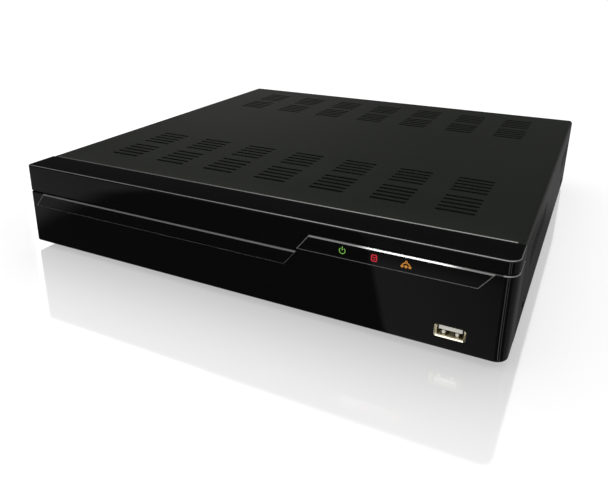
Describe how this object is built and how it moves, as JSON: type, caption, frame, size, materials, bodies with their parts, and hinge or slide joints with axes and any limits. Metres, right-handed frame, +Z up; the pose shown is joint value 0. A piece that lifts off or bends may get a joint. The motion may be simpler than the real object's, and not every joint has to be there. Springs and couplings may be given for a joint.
{
  "type": "security video recorder",
  "caption": "Low black desktop video recorder with a vented steel cover, glossy two-piece bezel, lit status icons, a USB socket and a rear socket panel.",
  "frame": {"origin": "on the ground under the middle of the object's box, between the bezel's front and the rear sockets' tips", "axes": "+Z up, front bezel towards -Y, rear sockets towards +Y"},
  "size_m": [0.3028, 0.312, 0.0565],
  "materials": {
    "case_paint": "satin black paint",
    "cover_paint": "satin black paint with a fine texture",
    "bezel_gloss": "piano black",
    "icon_green": "lit",
    "icon_red": "lit",
    "icon_amber": "lit",
    "clear_plastic": "clear",
    "board_green": "solder mask",
    "board_blue": "solder mask",
    "black_plastic": "moulded",
    "warm_plating": "plated",
    "white_plastic": "moulded",
    "ribbon_grey": "flat cable",
    "aluminium": "cast and machined",
    "sleeve_blue": "shrink sleeve",
    "ferrite": "ferrite",
    "steel": "plain",
    "nickel": "nickel plated",
    "gold": "gold plated",
    "vga_blue": "moulded",
    "terminal_green": "moulded",
    "mirror_disc": "polished",
    "cable_red": "cable jacket",
    "cable_yellow": "cable jacket",
    "cable_black": "cable jacket",
    "rubber": "matt",
    "brass": "turned",
    "screw_steel": "zinc plated",
    "screw_black": "black oxide"
  },
  "bodies": {
    "case": {"base_chassis": "case_paint", "top_cover": "cover_paint", "bezel_face": "bezel_gloss", "bezel_cap": "bezel_gloss", "power_icon": "icon_green", "drive_icon": "icon_red", "network_icon": "icon_amber", "light_pipes": "clear_plastic", "front_board": "board_green", "status_leds": "clear_plastic", "ir_receiver": "black_plastic", "front_usb_shell": "warm_plating", "front_usb_tongue": "white_plastic", "ribbon_cable": "ribbon_grey", "main_board": "board_green", "heat_sink": "aluminium", "processor": "black_plastic", "chips": "black_plastic", "capacitors": "sleeve_blue", "inductors": "ferrite", "coin_cell_holder": "black_plastic", "coin_cell": "steel", "bnc_housing": "black_plastic", "bnc_barrels": "nickel", "bnc_insulators": "white_plastic", "bnc_contacts": "gold", "rca_housing": "black_plastic", "rca_barrels": "warm_plating", "rca_inserts": "white_plastic", "vga_shell": "nickel", "vga_insert": "vga_blue", "vga_nuts": "nickel", "hdmi_port": "nickel", "lan_port": "nickel", "lan_contacts": "gold", "rear_usb_shell": "nickel", "rear_usb_tongues": "white_plastic", "terminal_header": "terminal_green", "dc_jack": "black_plastic", "switch_frame": "black_plastic", "fan_frame": "black_plastic", "fan_guard": "steel", "fan_screws": "screw_black", "drive_casting": "aluminium", "drive_lid": "aluminium", "drive_magnets": "steel", "drive_board": "board_blue", "drive_screws": "screw_steel", "sata_data_cable": "cable_red", "sata_power_cable": "cable_yellow", "fan_lead": "cable_black", "rubber_feet": "rubber", "board_standoffs": "brass", "board_screws": "screw_steel", "cover_screws": "screw_black"},
    "fan_wheel": {"fan_rotor": "black_plastic"},
    "disc_stack": {"drive_platters": "mirror_disc"},
    "head_arm": {"drive_actuator": "aluminium"},
    "rocker": {"switch_rocker": "black_plastic"},
    "wire_plug": {"terminal_plug": "terminal_green"}
  },
  "joints": [
    {"name": "fan_spin", "type": "hinge", "parent": "case", "child": "fan_wheel", "pos_m": [-0.118, 0.1305, 0.03], "axis": [0, 1, 0], "continuous": true},
    {"name": "platter_spin", "type": "hinge", "parent": "case", "child": "disc_stack", "pos_m": [-0.09, -0.0715, 0.02], "axis": [0, 0, 1], "continuous": true},
    {"name": "head_swing", "type": "hinge", "parent": "case", "child": "head_arm", "pos_m": [-0.059, -0.0205, 0.02], "axis": [0, 0, -1], "range_deg": [0, 28]},
    {"name": "power_rocker", "type": "hinge", "parent": "case", "child": "rocker", "pos_m": [-0.084, 0.1385, 0.041], "axis": [0, 0, 1], "range_deg": [0, 16]},
    {"name": "plug_pull", "type": "slide", "parent": "case", "child": "wire_plug", "axis": [0, 1, 0], "range_m": [0, 0.012]}
  ]
}
